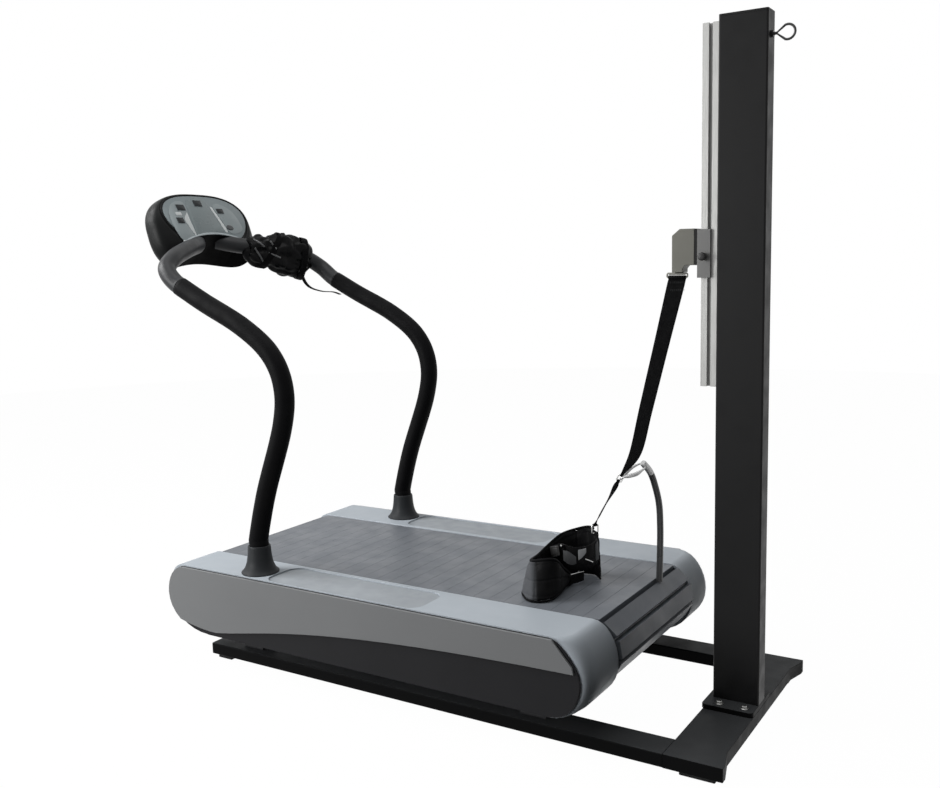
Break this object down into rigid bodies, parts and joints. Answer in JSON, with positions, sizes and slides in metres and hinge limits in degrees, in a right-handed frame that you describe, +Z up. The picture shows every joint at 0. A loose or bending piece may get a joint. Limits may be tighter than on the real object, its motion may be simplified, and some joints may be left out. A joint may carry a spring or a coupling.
{
  "type": "non-motorized treadmill",
  "caption": "Non-motorized slat-belt treadmill with foam handrails, a console pod, and a rear tower whose sliding carriage tethers a waist belt.",
  "frame": {"origin": "on the floor under the centre of the bounding box", "axes": "+X towards the tower behind the runner, +Y towards the far side of the picture, +Z up"},
  "size_m": [2.2496, 0.946, 1.928],
  "materials": {
    "belt_slat": "satin",
    "drum_metal": "cast",
    "steel": "satin",
    "cast_metal": "cast",
    "cover_silver": "satin metallic",
    "strip_grey": "matte",
    "panel_grey": "satin",
    "panel_dark": "satin",
    "frame_paint": "satin",
    "pad_rubber": "matte",
    "black_paint": "satin",
    "rail_aluminium": "anodised",
    "carriage_paint": "satin",
    "knob_plastic": "matte",
    "bracket_paint": "satin",
    "webbing": "woven",
    "bright_metal": "polished",
    "grip_foam": "satin foam",
    "boot_plastic": "matte",
    "arm_paint": "satin",
    "hood_plastic": "satin",
    "face_plastic": "satin metallic",
    "key_plastic": "gloss"
  },
  "bodies": {
    "base": {"slat_belt": "belt_slat", "brake_unit": "cast_metal", "bearing_front_near": "steel", "bearing_front_far": "steel", "bearing_rear_near": "steel", "bearing_rear_far": "steel", "bed_rail_near": "cast_metal", "bed_rail_far": "cast_metal", "chassis_side_near": "cast_metal", "chassis_side_far": "cast_metal", "chassis_cross_front": "cast_metal", "chassis_cross_rear": "cast_metal", "side_cover_near": "cover_silver", "side_cover_far": "cover_silver", "foot_strip_near": "strip_grey", "foot_strip_far": "strip_grey", "side_panel_near": "panel_grey", "side_panel_far": "panel_grey", "lower_panel_near": "panel_dark", "lower_panel_far": "panel_dark", "frame_tube_near": "frame_paint", "frame_tube_far": "frame_paint", "frame_cross_front": "frame_paint", "rear_base_plate": "frame_paint", "column_flange": "frame_paint", "foot_pad_front_near": "pad_rubber", "foot_pad_front_far": "pad_rubber", "foot_pad_rear_near": "pad_rubber", "foot_pad_rear_far": "pad_rubber", "column": "black_paint", "column_cap": "black_paint", "rail": "rail_aluminium", "eye_bolt": "steel", "tether_tail": "webbing", "strap_ring": "bright_metal", "snap_hook": "bright_metal", "belt_buckle": "bright_metal", "waist_belt": "webbing", "guide_rod": "grip_foam", "handrail_near": "grip_foam", "handrail_far": "grip_foam", "handrail_boot_near": "boot_plastic", "handrail_boot_far": "boot_plastic", "console_arm_near": "arm_paint", "console_arm_far": "arm_paint", "console_housing": "hood_plastic", "console_face": "face_plastic", "hung_harness": "webbing"},
    "carriage_body": {"carriage": "carriage_paint", "spacer_plate": "black_paint", "load_cell_housing": "bracket_paint", "strap_eye": "steel", "tether_strap": "webbing"},
    "knob_body": {"clamp_knob": "knob_plastic"},
    "front_roller": {"front_drum": "drum_metal", "brake_rotor": "steel"},
    "rear_roller": {"rear_drum": "drum_metal"},
    "stop_button": {"stop_key": "key_plastic"}
  },
  "joints": [
    {"name": "carriage_slide", "type": "slide", "parent": "base", "child": "carriage_body", "axis": [0, 0, 1], "range_m": [-0.29, 0.53], "deforming": ["tether_strap"]},
    {"name": "knob_turn", "type": "hinge", "parent": "carriage_body", "child": "knob_body", "pos_m": [0.897, -0.044, 1.304], "axis": [0, -1, 0], "range_deg": [-180, 180]},
    {"name": "front_roller_spin", "type": "hinge", "parent": "base", "child": "front_roller", "pos_m": [-0.698, 0, 0.241], "axis": [0, 1, 0], "continuous": true},
    {"name": "rear_roller_spin", "type": "hinge", "parent": "base", "child": "rear_roller", "pos_m": [0.672, 0, 0.241], "axis": [0, 1, 0], "continuous": true},
    {"name": "stop_press", "type": "slide", "parent": "base", "child": "stop_button", "axis": [-0.866, 0, -0.5], "range_m": [0, 0.002], "stiffness_N_per_m": 500, "springref_m": -0.001}
  ],
  "couplings": [
    {"joint": "rear_roller_spin", "follows": "front_roller_spin", "ratio": 1}
  ]
}
